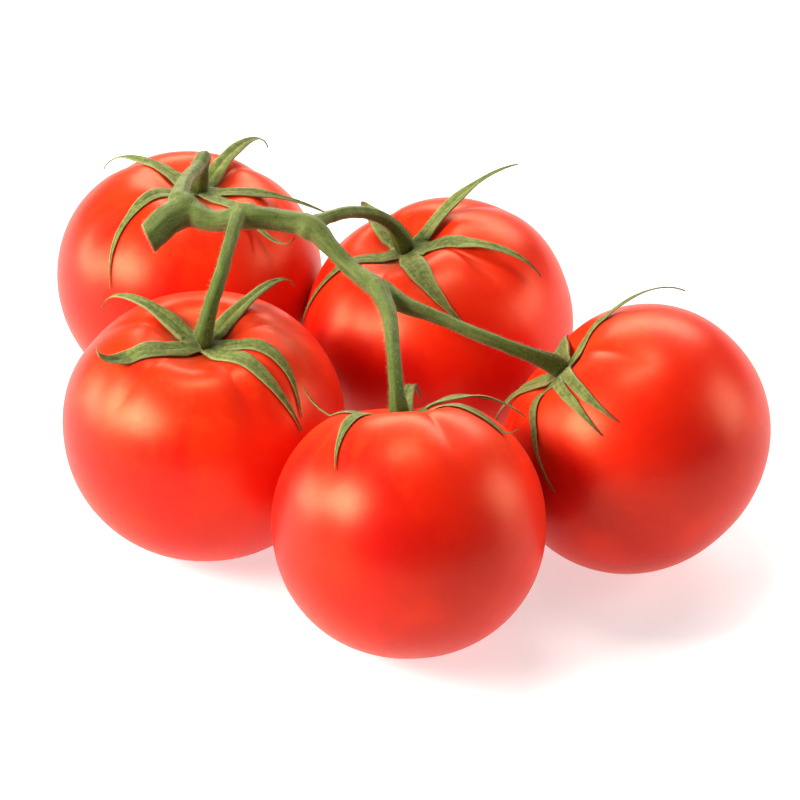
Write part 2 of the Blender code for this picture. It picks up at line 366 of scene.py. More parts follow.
def skin_points(polar, azimuth, fruit, phase):
    """Points of the skin in the fruit's own frame, from arrays of angles in radians."""
    power = 2 / fruit.roundness
    out = fruit.radius * np.abs(np.sin(polar)) ** power * (1 + fruit.taper * np.cos(polar))
    up = fruit.half_height * np.sign(np.cos(polar)) * np.abs(np.cos(polar)) ** power
    cavity = CAVITY_DEPTH * np.exp(-(out / CAVITY_WIDE) ** CAVITY_STEEP)
    up = up - np.where(polar < math.pi / 2, cavity, 0.0)
    up = up + BLOSSOM_DIMPLE * np.exp(-((math.pi - polar) / BLOSSOM_WIDE) ** 2)
    points = np.stack((out * np.cos(azimuth), out * np.sin(azimuth), up), axis=-1)
    degrees = np.degrees(polar)
    reach = np.exp(-((degrees - CREASE_AT) / CREASE_REACH) ** 2)
    wide = CREASE_WIDE + CREASE_SPREAD * degrees
    push = np.zeros_like(polar)
    for crease_azimuth, depth in fruit.creases:
        turn = (np.degrees(azimuth) - crease_azimuth + 180.0) % 360.0 - 180.0
        push += CREASE_SHARP * depth * reach * np.exp(-np.abs(turn / wide) ** 1.4)
        push += CREASE_BROAD * depth * reach * np.exp(-(turn / (3.0 * wide)) ** 2)
    side = np.sin(polar)
    oval = UNEVEN[0] * side * np.cos(2 * azimuth + phase)
    three_sided = UNEVEN[1] * side ** 2 * np.cos(3 * azimuth + 2.1 * phase)
    push += oval + three_sided
    push += UNEVEN[2] * side * np.cos(5 * azimuth + 3.3 * phase) * np.cos(polar)
    length = np.linalg.norm(points, axis=-1, keepdims=True)
    return points * (1 - push[..., None] / length)


def make_fruit(name, fruit, phase, material):
    """Skin of one fruit, resting flat on the surface, with its own frame kept for the finish."""
    share = np.linspace(0, 1, FRUIT_ROWS + 1)
    polar = math.pi * (share - ROW_CROWDING * np.sin(2 * math.pi * share))
    azimuth = np.arange(FRUIT_ROUND) * 2 * math.pi / FRUIT_ROUND
    grid = skin_points(*np.meshgrid(polar[1:-1], azimuth, indexing="ij"), fruit, phase).reshape(-1, 3)
    ends = skin_points(np.array((0.0, math.pi)), np.zeros(2), fruit, phase)
    points = np.vstack((grid, ends))
    faces = ring_faces(FRUIT_ROWS - 1, FRUIT_ROUND)
    turn = fruit_turn(fruit)
    world = points @ np.array(turn).T
    floor = world[:, 2].min() + FLAT_SPOT
    world[:, 2] = np.maximum(world[:, 2], floor)
    own = world @ np.array(turn)
    centre = np.array((fruit.x, fruit.y, -floor)) + (MOVE[0], MOVE[1], 0.0)
    obj = make_object(f"skin_{name}", (world + centre) * MM, faces, material)
    keep_vectors(obj.data, "own", own * MM)
    tree = BVHTree.FromPolygons([tuple(point) for point in own], faces)
    return obj, tree, centre


# Sepals

def sepal_width(sepal, share):
    belly = 0.92 + 0.28 * math.sin(math.pi * share)
    return sepal.width * (1 - share) ** sepal.taper * belly + TIP_WIDTH


def sepal_line(sepal, hub_z):
    """Centre points of a sepal with the directions along, across and out of its face."""
    start = math.radians(sepal.azimuth)
    point = np.array((SEPAL_START * math.cos(start), SEPAL_START * math.sin(start), hub_z))
    line = []
    last = None
    for step in range(SEPAL_STEPS + 1):
        share = step / SEPAL_STEPS
        tip = max(0.0, (share - TIP_START) / (1 - TIP_START)) ** 2
        slope = math.radians(sepal.rise * min(share / 0.15, 1.0) + sepal.bend * share + sepal.curl * tip)
        heading = math.radians(sepal.azimuth + sepal.swing * share ** 2)
        level = math.cos(slope)
        along = np.array((level * math.cos(heading), level * math.sin(heading), math.sin(slope)))
        across = np.array((-math.sin(heading), math.cos(heading), 0.0))
        if step:
            point = point + (along + last) * (0.5 * sepal.length / SEPAL_STEPS)
        last = along
        line.append((point.copy(), across, np.cross(along, across)))
    return line


def line_at(line, share):
    """Point, across and face directions of a sepal line at a share of its length."""
    place = min(max(share, 0.0), 1.0) * SEPAL_STEPS
    low = min(int(place), SEPAL_STEPS - 1)
    part = place - low
    return tuple((1 - part) * a + part * b for a, b in zip(line[low], line[low + 1]))


def make_calyx(name, fruit, tree, centre, seed, material):
    """Star of thin channelled sepals on a fruit: one closed mesh."""
    hub_z = hub_height(fruit)
    sepals = sorted(SEPALS[name])
    count = len(sepals)
    random = np.random.default_rng(seed)
    lines = [sepal_line(sepal, hub_z) for sepal in sepals]
    spacings = []
    valleys = []
    for index, sepal in enumerate(sepals):
        following = sepals[(index + 1) % count]
        spacings.append(math.radians((following.azimuth - sepal.azimuth) % 360))
        reach = (sepal.width + following.width) / 2 / spacings[index]
        limit = FUSED_VALLEY if spacings[index] < FUSED_SPACING else VALLEY_MAX
        valleys.append(min(max(reach, VALLEY_MIN), limit))

    def lifted(point):
        """The point, moved out from the fruit's centre where it would sink into the skin."""
        length = np.linalg.norm(point)
        ray = point / length
        skin = tree.ray_cast(Vector(), Vector(ray))[3]
        return ray * max(length, skin + SEPAL_CLEAR)

    def bisector(index, share):
        """Point between a sepal and the next one, on the part that they share."""
        angle = math.radians(sepals[index].azimuth) + spacings[index] / 2
        reach = valleys[index] * share
        height = 0.0
        for near in (index, (index + 1) % count):
            sepal = sepals[near]
            if spacings[index] < FUSED_SPACING:
                middle = line_at(lines[near], (reach - SEPAL_START) / sepal.length)[0]
                height += 0.5 * (middle[2] - hub_z)
            else:
                height += 0.15 * reach * math.tan(math.radians(max(sepal.rise, 0)) * 0.6) * share
        return np.array((reach * math.cos(angle), reach * math.sin(angle), hub_z + height))

    points = []
    facts = []
    faces = []

    def sheet(rows, flip):
        """Faces over rows of point numbers, without the corners that coincide."""
        for near, far in zip(rows, rows[1:]):
            for column in range(len(near) - 1):
                corners = (near[column], near[column + 1], far[column + 1], far[column])
                face = tuple(dict.fromkeys(corners))
                if len(face) > 2:
                    faces.append(face[::-1] if flip else face)

    known = {}

    def number(key, point, fact):
        """Number of a point; a key names a point that several sheets share."""
        if key is not None and key in known:
            return known[key]
        points.append(point)
        facts.append(fact)
        if key is not None:
            known[key] = len(points) - 1
        return len(points) - 1

    up = np.array((0.0, 0.0, 1.0))
    spans = np.linspace(-1, 1, 2 * COLUMNS + 1)
    for index, sepal in enumerate(sepals):
        line = lines[index]
        before = (index - 1) % count
        length = sepal.length
        azimuth = math.radians(sepal.azimuth)
        reach = (valleys[before] + valleys[index]) / 2
        start_share = max(0.0, (reach - SEPAL_START) / length)
        waves = random.uniform(0, 2 * math.pi, 4)
        tops = []
        bottoms = []
        for row in range(HUB_ROWS + BLADE_ROWS + 1):
            in_hub = row <= HUB_ROWS
            if in_hub:
                part = row / HUB_ROWS
                middle, across, normal = line_at(line, max(0.0, (reach * part - SEPAL_START) / length))
                out = reach * part
                if out < SEPAL_START:
                    middle = np.array((out * math.cos(azimuth), out * math.sin(azimuth), hub_z))
                right, left = bisector(before, part), bisector(index, part)
                normal = normal * part + up * (1 - part)
                normal /= np.linalg.norm(normal)
                share = start_share * part
                thick = HUB_THICK - HUB_THINNING * part
                edge_thick = 1.0 - part ** 2
            else:
                part = (row - HUB_ROWS) / BLADE_ROWS
                share = start_share + (1 - start_share) * part
                middle, across, normal = line_at(line, share)
                half = sepal_width(sepal, share) / 2
                half *= 1 + 0.05 * math.sin(9 * share + waves[0]) + 0.03 * math.sin(23 * share + waves[1])
                valley_right = np.linalg.norm(bisector(before, 1.0)[:2] - middle[:2])
                valley_left = np.linalg.norm(bisector(index, 1.0)[:2] - middle[:2])
                radius = math.hypot(middle[0], middle[1])
                limit_right = radius * math.sin(min(spacings[before] / 2, 1.5))
                limit_right -= VALLEY_GAP * (radius > valleys[before])
                limit_left = radius * math.sin(min(spacings[index] / 2, 1.5))
                limit_left -= VALLEY_GAP * (radius > valleys[index])
                half_right = min(half, limit_right, valley_right + 4 * part * length)
                half_left = min(half, limit_left, valley_left + 4 * part * length)
                ripple = EDGE_RIPPLE * half * math.sin(14 * share + waves[2])
                fold = normal * half * (FOLD_DEPTH + FOLD_GROWTH * share)
                right = middle - across * half_right + fold + normal * ripple
                left = middle + across * half_left + fold - normal * ripple
                thick = BLADE_THICK - BLADE_THINNING * share
            row_top = []
            row_bottom = []
            for column, span in enumerate(spans):
                lean = abs(span)
                edge = column in (0, 2 * COLUMNS)
                side = left if span > 0 else right
                flat = middle + (side - middle) * lean
                key_low = key_high = None
                if in_hub:
                    rib = 0.0
                    body = (thick * (1 - lean ** 3) + edge_thick * lean ** 3) * 0.9
                    if row == 0:
                        key_low, key_high = "hub_low", "hub_high"
                    elif edge:
                        which = before if column == 0 else index
                        key_low, key_high = (which, row, 0), (which, row, 1)
                        if row == HUB_ROWS:
                            key_high = key_low
                else:
                    roll = normal * half * EDGE_ROLL * max(0.0, lean - ROLL_START) ** 2 / 0.2
                    flat = flat - fold * lean + fold * lean ** 1.5 - roll
                    rib = RIB_DEPTH * math.exp(-(span / RIB_WIDE) ** 2) * min(1.0, 8 * part)
                    body = thick * (1 - lean ** 2) ** 0.5
                base = lifted(flat)
                low = high = number(key_low, base, (share, span, 1.0))
                if in_hub or not edge:
                    high = number(key_high, base + normal * (body - rib), (share, span, 0.0))
                row_bottom.append(low)
                row_top.append(high)
            tops.append(row_top)
            bottoms.append(row_bottom)
        tip = number(None, lifted(line[-1][0] + 0.3 * (line[-1][0] - line[-2][0])), (1.0, 0.0, 0.0))
        tops.append([tip] * (2 * COLUMNS + 1))
        bottoms.append([tip] * (2 * COLUMNS + 1))
        sheet(tops, True)
        sheet(bottoms, False)

    world = np.array(points) @ np.array(fruit_turn(fruit)).T + centre
    obj = make_object(f"sepals_{name}", world * MM, faces, material)
    keep_vectors(obj.data, "blade", facts)
    return obj


# Vine

def smooth_path(points, spacing):
    """Points every so many millimetres on a smooth curve through x, y, z, radius rows."""
    rows = np.array(points, dtype=float)
    chord = np.linalg.norm(np.diff(rows[:, :3], axis=0), axis=1)
    place = np.concatenate(((0.0,), np.cumsum(chord)))
    slopes = np.empty_like(rows)
    gaps = np.diff(rows, axis=0) / chord[:, None]
    slopes[0], slopes[-1] = gaps[0], gaps[-1]
    share = (chord[:-1] / (chord[:-1] + chord[1:]))[:, None]
    slopes[1:-1] = gaps[:-1] * (1 - share) + gaps[1:] * share
    result = []
    for index, size in enumerate(chord):
        steps = max(2, int(round(size / spacing)))
        for step in range(steps + (index == len(chord) - 1)):
            t = step / steps
            result.append(
                (2 * t ** 3 - 3 * t ** 2 + 1) * rows[index]
                + (t ** 3 - 2 * t ** 2 + t) * size * slopes[index]
                + (3 * t ** 2 - 2 * t ** 3) * rows[index + 1]
                + (t ** 3 - t ** 2) * size * slopes[index + 1])
    return np.array(result)


def path_frames(path):
    """Two directions across a path at each of its points, turning as little as they can."""
    along = np.gradient(path[:, :3], axis=0)
    along /= np.linalg.norm(along, axis=1, keepdims=True)
    side = np.cross(along[0], (0.3, 0.2, 0.9))
    frames = []
    for direction in along:
        side = side - direction * side.dot(direction)
        side /= np.linalg.norm(side)
        frames.append((side, np.cross(direction, side)))
    return frames


def loft(path, ridge, phase):
    """Points and faces of a closed tube with soft lengthwise ridges."""
    centres, radii = path[:, :3], path[:, 3]
    angles = np.arange(TUBE_SIDES) * 2 * math.pi / TUBE_SIDES
    profile = 1 + ridge * np.cos(3 * angles + phase) + 0.6 * ridge * np.cos(5 * angles + 2 * phase)
    rings = []
    for centre, radius, (side, other) in zip(centres, radii, path_frames(path)):
        around = np.cos(angles)[:, None] * side + np.sin(angles)[:, None] * other
        rings.append(centre + radius * profile[:, None] * around)
    points = np.vstack(rings + [centres[:1], centres[-1:]])
    return points, ring_faces(len(rings), TUBE_SIDES, flip=True)


def ball(x, y, z, radius):
    """Points and faces of a round knuckle."""
    points = []
    for row in range(1, BALL_ROWS):
        polar = math.pi * row / BALL_ROWS
        for column in range(BALL_SIDES):
            angle = 2 * math.pi * column / BALL_SIDES
            points.append((
                x + radius * math.sin(polar) * math.cos(angle),
                y + radius * math.sin(polar) * math.sin(angle),
                z + radius * math.cos(polar)))
    points += [(x, y, z + radius), (x, y, z - radius)]
    return np.array(points), ring_faces(BALL_ROWS - 1, BALL_SIDES)


def near_knuckles(place, reach):
    """How near points lie to a swollen joint, from 0 to 1, with a reach in joint radii."""
    near = np.zeros(len(place))
    for x, y, z, radius in KNUCKLES:
        gap = np.linalg.norm(place - (x, y, z), axis=1)
        near = np.maximum(near, np.exp(-(gap / (reach * radius)) ** 4))
    return near


def cut_stub(mesh):
    """Cut the stub flat, with a slightly sunken face."""
    bm = bmesh.new()
    bm.from_mesh(mesh)
    cut = Vector(CUT_NORMAL).normalized()
    spot = Vector(np.array(CUT_POINT) + MOVE) * MM
    geometry = bm.verts[:] + bm.edges[:] + bm.faces[:]
    halves = bmesh.ops.bisect_plane(
        bm, geom=geometry, dist=1e-6, plane_co=spot, plane_no=cut, clear_outer=True)
    rim = [item for item in halves["geom_cut"] if isinstance(item, bmesh.types.BMEdge)]
    face = bmesh.ops.edgeloop_fill(bm, edges=rim)["faces"]
    bmesh.ops.inset_region(bm, faces=face, thickness=CUT_RIM * MM, depth=0.0)
    bmesh.ops.inset_region(bm, faces=face, thickness=CUT_SLOPE * MM, depth=-CUT_SUNK * MM)
    for item in bm.faces:
        item.smooth = True
    face[0].smooth = False
    bm.to_mesh(mesh)
    bm.free()


def make_vine(hubs, material):
    """Stem, stalks and knuckles fused into one skin, with a clean cut at the stub."""
    points = np.empty((0, 3))
    faces = []
    solids = []
    paths = []
    for index, (name, rows) in enumerate(BRANCHES.items()):
        rows = list(rows)
        if name.startswith("to_"):
            rows.append((*(hubs[name[3:]] - MOVE), rows[-1][3] * 0.95))
        paths.append(smooth_path(rows, PATH_STEP))
        solids.append(loft(paths[-1], TUBE_RIDGE, 1.7 * index))
    solids += [ball(*knuckle) for knuckle in KNUCKLES]
    for part, part_faces in solids:
        offset = len(points)
        points = np.vstack((points, part))
        faces += [tuple(number + offset for number in face) for face in part_faces]
    rough = make_object("vine_rough", (points + MOVE) * MM, faces, material)
    fuse = rough.modifiers.new("fuse", "REMESH")
    fuse.mode = "VOXEL"
    fuse.voxel_size = VINE_VOXEL * MM
    bpy.context.view_layer.update()
    graph = bpy.context.evaluated_depsgraph_get()
    mesh = bpy.data.meshes.new_from_object(rough.evaluated_get(graph))
    bpy.data.objects.remove(rough, do_unlink=True)
    place = vertex_array(mesh) / MM - MOVE
    relax(mesh, np.full(len(place), 0.5), 5)
    relax(mesh, 0.6 * near_knuckles(place, 1.9), 14)
    cut_stub(mesh)

    tree = KDTree(sum(len(path) for path in paths))
    stations = []
    for branch, path in enumerate(paths):
        travel = 0.0
        for index, (row, (side, other)) in enumerate(zip(path, path_frames(path))):
            if index:
                travel += np.linalg.norm(row[:3] - path[index - 1][:3])
            tree.insert(row[:3], len(stations))
            stations.append((row[:3], side, other, travel + 40.0 * branch, branch))
    tree.balance()
    points = vertex_array(mesh)
    normals = vertex_array(mesh, "normal")
    place = points / MM - MOVE
    grain = np.empty_like(points)
    turn = np.empty(len(points))
    for index, point in enumerate(place):
        centre, side, other, travel, branch = stations[tree.find(point)[1]]
        apart = point - centre
        across, over = apart.dot(side), apart.dot(other)
        grain[index] = (across, over, 0.12 * travel)
        turn[index] = math.atan2(over, across) + 1.9 * branch
    ridges = RIDGE_HEIGHT * np.cos(6 * turn + 0.5 * np.sin(0.3 * place[:, 0]))
    ridges += FINE_RIDGE_HEIGHT * np.cos(11 * turn)
    bumps = ridges * (1 - near_knuckles(place, 1.3))
    lumps = place @ (1.1, 0.7, 0.9) + 1.5 * np.sin(place @ (0.4, -0.8, 0.5))
    bumps += LUMP_HEIGHT * np.sin(lumps)
    cut = np.array(CUT_NORMAL) / np.linalg.norm(CUT_NORMAL)
    bumps *= (place - CUT_POINT) @ cut < -0.3
    set_vertex_array(mesh, points + normals * (bumps * MM)[:, None])
    keep_vectors(mesh, "grain", grain * MM)
    foot = np.min([np.linalg.norm(points / MM - hub, axis=1) for hub in hubs.values()], axis=0)
    keep_vectors(mesh, "foot", np.stack((foot, foot, foot), axis=1))
    obj = bpy.data.objects.new("vine", mesh)
    bpy.context.scene.collection.objects.link(obj)
    return obj


def make_hairs(name, sources, count, seed, lengths, radius, material):
    """Fine upright hairs, each a thin three-sided spike, spread over the source meshes."""
    random = np.random.default_rng(seed)
    corners = []
    favour = []
    for source in sources:
        mesh = source.data
        mesh.calc_loop_triangles()
        numbers = np.empty(len(mesh.loop_triangles) * 3, dtype=np.int32)
        mesh.loop_triangles.foreach_get("vertices", numbers)
        numbers = numbers.reshape(-1, 3)
        corners.append(vertex_array(mesh)[numbers])
        edge = np.zeros(len(mesh.vertices))
        if "blade" in mesh.attributes:
            blade = np.empty(len(mesh.vertices) * 3)
            mesh.attributes["blade"].data.foreach_get("vector", blade)
            edge = np.abs(blade[1::3]) > 0.95
        favour.append(1.0 + EDGE_FAVOUR * edge[numbers].mean(axis=1))
    corners = np.concatenate(corners)
    cross = np.cross(corners[:, 1] - corners[:, 0], corners[:, 2] - corners[:, 0])
    area = np.linalg.norm(cross, axis=1)
    weight = area * np.concatenate(favour)
    pick = random.choice(len(corners), count, p=weight / weight.sum())
    share = random.random((count, 2))
    over = share.sum(axis=1) > 1
    share[over] = 1 - share[over]
    chosen = corners[pick]
    roots = chosen[:, 0] + share[:, :1] * (chosen[:, 1] - chosen[:, 0])
    roots += share[:, 1:] * (chosen[:, 2] - chosen[:, 0])
    normal = cross[pick] / area[pick, None]
    lean = normal + HAIR_LEAN * random.normal(size=(count, 3))
    lean /= np.linalg.norm(lean, axis=1, keepdims=True)
    first = np.cross(lean, random.normal(size=(count, 3)))
    first /= np.linalg.norm(first, axis=1, keepdims=True)
    second = np.cross(lean, first)
    length = random.uniform(*lengths, count)[:, None] * MM
    points = np.empty((count, 4, 3))
    for corner in range(3):
        angle = 2 * math.pi * corner / 3
        around = math.cos(angle) * first + math.sin(angle) * second
        points[:, corner] = roots + radius * MM * around - HAIR_ROOT * MM * normal
    points[:, 3] = roots + lean * length
    faces = []
    for index in range(count):
        base = 4 * index
        tip = base + 3
        faces += [(base, base + 1, tip), (base + 1, base + 2, tip), (base + 2, base, tip)]
        faces.append((base + 2, base + 1, base))
    return make_object(name, points.reshape(-1, 3), faces, material)


# Finishes

class Value:
    """A shader socket; arithmetic on it adds Math nodes."""

    def __init__(self, finish, socket):
        self.finish = finish
        self.socket = socket

    def math(self, operation, *others):
        inputs = {index + 1: other for index, other in enumerate(others)}
        return self.finish.node("Math", {"operation": operation}, {0: self, **inputs})

    def __add__(self, other):
        return self.math("ADD", other)

    __radd__ = __add__

    def __mul__(self, other):
        return self.math("MULTIPLY", other)

    __rmul__ = __mul__

    def __sub__(self, other):
        return self.math("SUBTRACT", other)

    def __rsub__(self, other):
        return self.finish.node("Math", {"operation": "SUBTRACT"}, {0: other, 1: self})

    def __truediv__(self, other):
        return self.math("DIVIDE", other)


class Finish:
    """A Principled material and the nodes that feed it."""

    def __init__(self, name, **constants):
        """The constants are named after the shader's sockets, such as specular_ior_level."""
        self.material = bpy.data.materials.new(name)
        self.material.use_nodes = True
        self.nodes = self.material.node_tree.nodes
        self.links = self.material.node_tree.links
        self.shader = self.nodes["Principled BSDF"]
        for key, value in constants.items():
            socket = key.replace("_", " ").title().replace("Ior", "IOR")
            self.put(socket, value)

    def feed(self, socket, value):
        """Link a Value to a socket, or set the socket to a constant."""
        if isinstance(value, Value):
            self.links.new(value.socket, socket)
        else:
            socket.default_value = value

    def put(self, name, value):
        """Feed a socket of the shader."""
        self.feed(self.shader.inputs[name], value)

    def node(self, kind, settings=None, inputs=None, output=0):
        """Add a node with its settings, then its inputs, and give one of its outputs."""
        node = self.nodes.new("ShaderNode" + kind)
        for key, value in (settings or {}).items():
            setattr(node, key, value)
        for key, value in (inputs or {}).items():
            self.feed(node.inputs[key], value)
        return Value(self, node.outputs[output])

    def mix(self, start, end, factor):
        """Colour between two colours."""
        return self.node("Mix", {"data_type": "RGBA"}, {0: factor, 6: start, 7: end}, 2)

    def attribute(self, name):
        """Vector that the mesh keeps under a name."""
        return self.node("Attribute", {"attribute_name": name}, {}, "Vector")

    def parts(self, vector):
        """The x, y and z of a vector."""
        return [self.node("SeparateXYZ", {}, {0: vector}, axis) for axis in range(3)]

    def vector(self, x, y, z):
        return self.node("CombineXYZ", {}, {0: x, 1: y, 2: z})

    def noise(self, place, scale, detail=3.0, rough=0.55):
        inputs = {"Vector": place, "Scale": scale, "Detail": detail, "Roughness": rough}
        return self.node("TexNoise", {}, inputs)

    def cells(self, place, scale):
        """Distance to the nearest of many scattered spots."""
        return self.node("TexVoronoi", {}, {"Vector": place, "Scale": scale}, "Distance")

    def ramp(self, value, low, high):
        """Smooth step of a value, from 0 at one limit to 1 at the other."""
        return self.node("MapRange", {"interpolation_type": "SMOOTHSTEP"}, {0: value, 1: low, 2: high})

    def bump(self, height, strength, distance, under=None):
        inputs = {"Height": height, "Strength": strength, "Distance": distance}
        if under is not None:
            inputs["Normal"] = under
        return self.node("Bump", {}, inputs)


def colour(red, green, blue):
    return (red, green, blue, 1.0)


# Skin colours

DEEP_RED = colour(0.66, 0.002, 0.003)
BRIGHT_RED = colour(0.80, 0.011, 0.002)
RIPENING_RED = colour(0.88, 0.055, 0.006)
SHOULDER_ORANGE = colour(0.90, 0.080, 0.008)
# Painted shade: darker, browner skin in the stem cavity under the sepals
CAVITY_PAINTED_SHADE = colour(0.52, 0.10, 0.015)
FRECKLE_ORANGE = colour(0.90, 0.10, 0.02)
PORE_ORANGE = colour(0.92, 0.14, 0.04)
SCAR_BROWN = colour(0.16, 0.07, 0.03)

# Sepal colours

SEPAL_DEEP = colour(0.125, 0.180, 0.044)
SEPAL_BRIGHT = colour(0.26, 0.320, 0.108)
SEPAL_YELLOW = colour(0.33, 0.380, 0.140)
VEIN_GREEN = colour(0.100, 0.150, 0.036)
MARGIN_PALE = colour(0.42, 0.46, 0.25)
MIDRIB_GREEN = colour(0.075, 0.115, 0.020)
UNDERSIDE_GREEN = colour(0.25, 0.31, 0.12)
HUB_GREEN = colour(0.050, 0.085, 0.012)
FLECK_DARK = colour(0.030, 0.045, 0.012)
DRY_BROWN = colour(0.20, 0.13, 0.055)

# Vine and hair colours

STEM_DEEP = colour(0.110, 0.165, 0.040)
STEM_BRIGHT = colour(0.18, 0.245, 0.080)
BLOOM_GREEN = colour(0.24, 0.31, 0.11)
# Stalks near the fruits: partly their own deeper green, partly painted shade
STALK_GREEN_AND_SHADE = colour(0.085, 0.145, 0.020)
# Painted shade where each stalk meets its calyx
FOOT_PAINTED_SHADE = colour(0.030, 0.045, 0.010)
SPECK_PALE = colour(0.30, 0.36, 0.17)
SPECK_DARK = colour(0.040, 0.070, 0.014)
WOOD_PALE = colour(0.40, 0.34, 0.17)
WOOD_DARK = colour(0.12, 0.08, 0.04)
CORE_GREEN = colour(0.22, 0.22, 0.09)
HAIR_DEEP = colour(0.28, 0.34, 0.15)
HAIR_PALE = colour(0.48, 0.54, 0.32)


def skin_finish():
    """Ripe tomato skin: waxy red with an orange shoulder, painted shade in the stem cavity, faint streaks
    and pale pores.
    """
    skin = Finish(
        "ripe_skin", coat_roughness=0.25, ior=1.45,
        specular_ior_level=1.0, specular_tint=colour(1.0, 0.68, 0.42),
        sheen_weight=0.06, sheen_roughness=0.5, sheen_tint=colour(1.0, 0.58, 0.34))
    place = skin.attribute("own")
    x, y, z = skin.parts(place)
    out = (x * x + y * y).math("SQRT")
    height = z * (1 / 0.030)
    streak = skin.noise(skin.vector(x / (out + 0.002), y / (out + 0.002), z * 12.0), 3.4, 4.0, 0.6)
    grain = skin.noise(place, 900.0, 3.0, 0.65)
    shoulder = skin.ramp(height + (streak - 0.5) * 1.1, 0.30, 1.0)
    warm = skin.ramp(skin.noise(place, 45.0, 3.0, 0.5), 0.38, 0.68)
    ripening = skin.ramp(skin.noise(place, 24.0, 2.0, 0.5), 0.46, 0.72)
    # Painted shade in the recessed stem cavity, under the calyx
    cavity = skin.ramp(out, 0.011, 0.004) * skin.ramp(height, 0.3, 0.6)
    freckle = skin.ramp(skin.noise(place, 160.0, 3.0, 0.6), 0.50, 0.66)
    pore_zone = skin.ramp(skin.noise(place, 260.0, 2.0), 0.42, 0.62)
    pores = skin.ramp(skin.cells(place, 1150.0), 0.22, 0.07) * pore_zone
    scar_edge = out + (skin.noise(place, 900.0) - 0.5) * 0.0012
    scar = skin.ramp(scar_edge, 0.0016, 0.0009) * skin.ramp(height, -0.3, -0.6)
    base = skin.mix(DEEP_RED, BRIGHT_RED, warm)
    base = skin.mix(base, RIPENING_RED, ripening * 0.35)
    base = skin.mix(base, SHOULDER_ORANGE, shoulder * 0.55)
    base = skin.mix(base, CAVITY_PAINTED_SHADE, cavity * 0.6)
    base = skin.mix(base, FRECKLE_ORANGE, freckle * (shoulder * 0.30 + 0.05))
    base = skin.mix(base, PORE_ORANGE, pores * 0.16)
    base = skin.mix(base, SCAR_BROWN, scar)
    skin.put("Base Color", base)
    skin.put("Roughness", grain * 0.14 + warm * 0.03 + scar * 0.4 + 0.31)
    skin.put("Coat Weight", 0.06 - scar * 0.06)
    skin.put("Normal", skin.bump(grain, 0.14, 0.00010))
    return skin.material


def leaf_finish():
    """Sepal tissue: mid green with a pale margin, a dark midrib, dark flecks and dry tips."""
    leaf = Finish("sepal_green", sheen_weight=0.15, sheen_roughness=0.45, specular_ior_level=0.35)
    place = leaf.node("TexCoord", output="Object")
    along, side, under = leaf.parts(leaf.attribute("blade"))
    edge = side.math("ABSOLUTE")
    patch = leaf.noise(place, 900.0, 4.0, 0.65)
    cloud = leaf.noise(place, 130.0, 2.0, 0.5)
    veins = leaf.noise(leaf.vector(along * 5.0, side * 7.0, cloud * 1.5), 1.0, 3.0, 0.6)
    fleck_zone = leaf.ramp(leaf.noise(place, 500.0), 0.46, 0.60)
    fleck = leaf.ramp(leaf.cells(place, 1500.0), 0.26, 0.12) * fleck_zone
    dry = leaf.ramp(along + (cloud - 0.5) * 0.3, 0.84, 0.98)
    base = leaf.mix(SEPAL_DEEP, SEPAL_BRIGHT, leaf.ramp(patch, 0.36, 0.64))
    base = leaf.mix(base, VEIN_GREEN, leaf.ramp(veins, 0.56, 0.36) * 0.45)
    base = leaf.mix(base, SEPAL_YELLOW, leaf.ramp(cloud, 0.45, 0.65) * 0.45)
    base = leaf.mix(base, MARGIN_PALE, leaf.ramp(edge, 0.62, 1.0) * 0.7)
    base = leaf.mix(base, MIDRIB_GREEN, leaf.ramp(edge, 0.14, 0.02) * 0.35)
    base = leaf.mix(base, UNDERSIDE_GREEN, under * 0.7)
    base = leaf.mix(base, HUB_GREEN, leaf.ramp(along, 0.12, 0.03) * 0.6)
    base = leaf.mix(base, FLECK_DARK, fleck * 0.75)
    base = leaf.mix(base, DRY_BROWN, dry * 0.8)
    leaf.put("Base Color", base)
    leaf.put("Roughness", patch * 0.2 + 0.5)
    leaf.put("Normal", leaf.bump(patch, 0.45, 0.0002, leaf.bump(veins, 0.5, 0.0004)))
    return leaf.material


